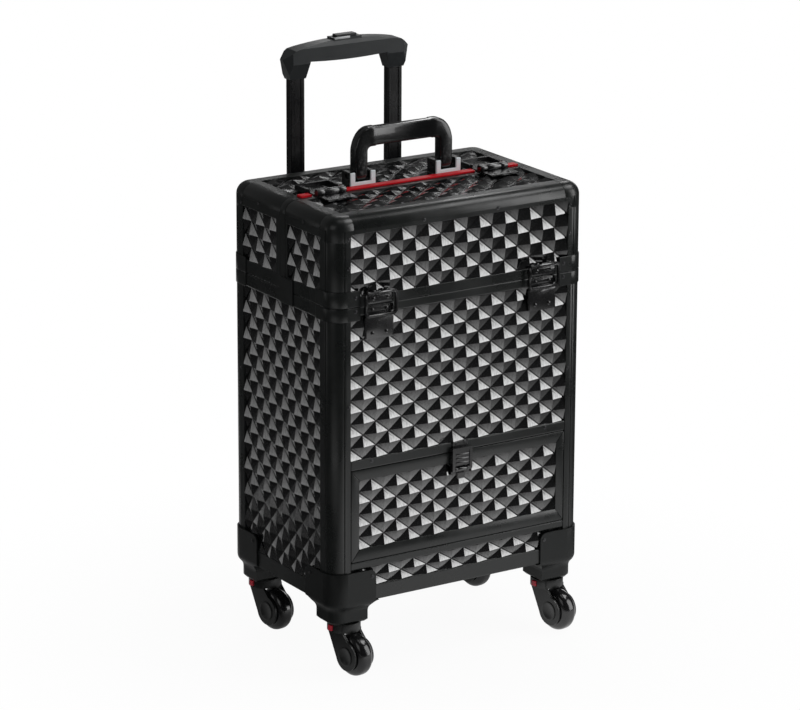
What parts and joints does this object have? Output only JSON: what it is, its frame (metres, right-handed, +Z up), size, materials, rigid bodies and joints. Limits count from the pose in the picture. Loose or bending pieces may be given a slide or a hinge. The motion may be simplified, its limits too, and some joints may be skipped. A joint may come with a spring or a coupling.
{
  "type": "rolling makeup case",
  "caption": "Upright hard case on swivel casters with a flip-up front lid, a bottom drawer, a carry handle and a pull-out trolley handle.",
  "frame": {"origin": "on the floor under the middle of the whole object's box, trolley and casters included", "axes": "+Z up, -Y towards the front with the drawer and latches, +X to the right seen from the front"},
  "size_m": [0.3488, 0.284, 0.6933],
  "materials": {
    "relief_laminate": "glossy black laminate embossed with pyramids",
    "black_profile": "satin black anodised profile",
    "black_corner": "semi-gloss black pressed corner",
    "liner_board": "black board",
    "red_trim": "glossy red",
    "black_hardware": "semi-gloss black steel",
    "silver_bracket": "silver painted plastic",
    "black_handle": "high gloss black",
    "foot_plastic": "fine textured black",
    "tube_metal": "satin black anodised tube",
    "grip_plastic": "dark grey textured plastic",
    "button_plastic": "mid grey",
    "fork_plastic": "glossy black nylon",
    "wheel_plastic": "glossy black polyurethane",
    "red_tab": "red nylon",
    "rivet_steel": "black rivet heads"
  },
  "bodies": {
    "case": {"body_front_panel": "relief_laminate", "body_side_panels": "relief_laminate", "body_back_panel": "relief_laminate", "body_floor": "liner_board", "drawer_deck": "liner_board", "lower_front_panel": "relief_laminate", "body_posts": "black_profile", "body_rails": "black_profile", "hood_top_panel": "relief_laminate", "hood_side_panels": "relief_laminate", "hood_back_panel": "relief_laminate", "hood_frame": "black_profile", "hood_corner_caps": "black_corner", "centre_arch": "black_profile", "arch_trim": "red_trim", "hinge_fixed_leaves": "black_hardware", "lid_catches": "black_hardware", "drawer_keeper": "black_hardware", "drawer_runners": "black_profile", "handle_bracket_blocks": "black_handle", "handle_bracket_plates": "silver_bracket", "trolley_sleeves": "tube_metal", "trolley_brackets": "foot_plastic", "front_feet": "foot_plastic", "rear_feet": "foot_plastic", "case_seam_corners": "black_corner", "case_rivets": "rivet_steel"},
    "lid": {"lid_top_panel": "relief_laminate", "lid_front_panel": "relief_laminate", "lid_side_panels": "relief_laminate", "lid_frame": "black_profile", "lid_corner_caps": "black_corner", "lid_seam_corners": "black_corner", "lid_latch_plates": "black_hardware", "lid_rivets": "rivet_steel", "hinge_lid_leaves": "black_hardware"},
    "lever_left": {"lid_lever_left": "black_hardware"},
    "lever_right": {"lid_lever_right": "black_hardware"},
    "drawer": {"drawer_front_panel": "relief_laminate", "drawer_front_frame": "black_profile", "drawer_box": "liner_board", "drawer_latch_plate": "black_hardware"},
    "drawer_lever": {"drawer_lever": "black_hardware"},
    "handle": {"carry_handle": "black_handle"},
    "trolley": {"trolley_tubes": "tube_metal", "trolley_grip": "grip_plastic"},
    "button": {"trolley_button": "button_plastic"},
    "fork_front_left": {"fork_front_left": "fork_plastic"},
    "wheel_front_left": {"wheel_front_left": "wheel_plastic"},
    "tab_front_left": {"tab_front_left": "red_tab"},
    "fork_front_right": {"fork_front_right": "fork_plastic"},
    "wheel_front_right": {"wheel_front_right": "wheel_plastic"},
    "tab_front_right": {"tab_front_right": "red_tab"},
    "fork_rear_left": {"fork_rear_left": "fork_plastic"},
    "wheel_rear_left": {"wheel_rear_left": "wheel_plastic"},
    "tab_rear_left": {"tab_rear_left": "red_tab"},
    "fork_rear_right": {"fork_rear_right": "fork_plastic"},
    "wheel_rear_right": {"wheel_rear_right": "wheel_plastic"},
    "tab_rear_right": {"tab_rear_right": "red_tab"}
  },
  "joints": [
    {"name": "lid_hinge", "type": "hinge", "parent": "case", "child": "lid", "pos_m": [0, -0.01802, 0.5492], "axis": [-1, 0, 0], "range_deg": [0, 95]},
    {"name": "lever_left_pivot", "type": "hinge", "parent": "lid", "child": "lever_left", "pos_m": [-0.111, -0.12662, 0.4548], "axis": [-1, 0, 0], "range_deg": [0, 150]},
    {"name": "lever_right_pivot", "type": "hinge", "parent": "lid", "child": "lever_right", "pos_m": [0.111, -0.12662, 0.4548], "axis": [-1, 0, 0], "range_deg": [0, 150]},
    {"name": "drawer_slide", "type": "slide", "parent": "case", "child": "drawer", "axis": [0, -1, 0], "range_m": [0, 0.15]},
    {"name": "drawer_lever_pivot", "type": "hinge", "parent": "drawer", "child": "drawer_lever", "pos_m": [0, -0.12542, 0.2278], "axis": [1, 0, 0], "range_deg": [0, 120]},
    {"name": "handle_fold", "type": "hinge", "parent": "case", "child": "handle", "pos_m": [0, 0.00598, 0.5558], "axis": [-1, 0, 0], "range_deg": [0, 85]},
    {"name": "trolley_slide", "type": "slide", "parent": "case", "child": "trolley", "axis": [0, 0, 1], "range_m": [-0.1184, 0.16]},
    {"name": "trolley_button_press", "type": "slide", "parent": "trolley", "child": "button", "axis": [0, 0, -1], "range_m": [0, 0.003], "stiffness_N_per_m": 300, "springref_m": -0.002},
    {"name": "swivel_front_left", "type": "hinge", "parent": "case", "child": "fork_front_left", "pos_m": [-0.142, -0.09702, 0.051], "axis": [0, 0, 1], "continuous": true},
    {"name": "swivel_front_right", "type": "hinge", "parent": "case", "child": "fork_front_right", "pos_m": [0.142, -0.09702, 0.051], "axis": [0, 0, 1], "continuous": true},
    {"name": "swivel_rear_left", "type": "hinge", "parent": "case", "child": "fork_rear_left", "pos_m": [-0.142, 0.08098, 0.051], "axis": [0, 0, 1], "continuous": true},
    {"name": "swivel_rear_right", "type": "hinge", "parent": "case", "child": "fork_rear_right", "pos_m": [0.142, 0.08098, 0.051], "axis": [0, 0, 1], "continuous": true},
    {"name": "roll_front_left", "type": "hinge", "parent": "fork_front_left", "child": "wheel_front_left", "pos_m": [-0.13956, -0.11687, 0.025], "axis": [0.9925, 0.1219, 0], "continuous": true},
    {"name": "roll_front_right", "type": "hinge", "parent": "fork_front_right", "child": "wheel_front_right", "pos_m": [0.14444, -0.11687, 0.025], "axis": [0.9925, 0.1219, 0], "continuous": true},
    {"name": "roll_rear_left", "type": "hinge", "parent": "fork_rear_left", "child": "wheel_rear_left", "pos_m": [-0.13956, 0.06113, 0.025], "axis": [0.9925, 0.1219, 0], "continuous": true},
    {"name": "roll_rear_right", "type": "hinge", "parent": "fork_rear_right", "child": "wheel_rear_right", "pos_m": [0.14444, 0.06113, 0.025], "axis": [0.9925, 0.1219, 0], "continuous": true},
    {"name": "tab_press_front_left", "type": "slide", "parent": "fork_front_left", "child": "tab_front_left", "axis": [0.9925, 0.1219, 0], "range_m": [0, 0.0015], "stiffness_N_per_m": 400, "springref_m": -0.001},
    {"name": "tab_press_front_right", "type": "slide", "parent": "fork_front_right", "child": "tab_front_right", "axis": [0.9925, 0.1219, 0], "range_m": [0, 0.0015], "stiffness_N_per_m": 400, "springref_m": -0.001},
    {"name": "tab_press_rear_left", "type": "slide", "parent": "fork_rear_left", "child": "tab_rear_left", "axis": [0.9925, 0.1219, 0], "range_m": [0, 0.0015], "stiffness_N_per_m": 400, "springref_m": -0.001},
    {"name": "tab_press_rear_right", "type": "slide", "parent": "fork_rear_right", "child": "tab_rear_right", "axis": [0.9925, 0.1219, 0], "range_m": [0, 0.0015], "stiffness_N_per_m": 400, "springref_m": -0.001}
  ]
}
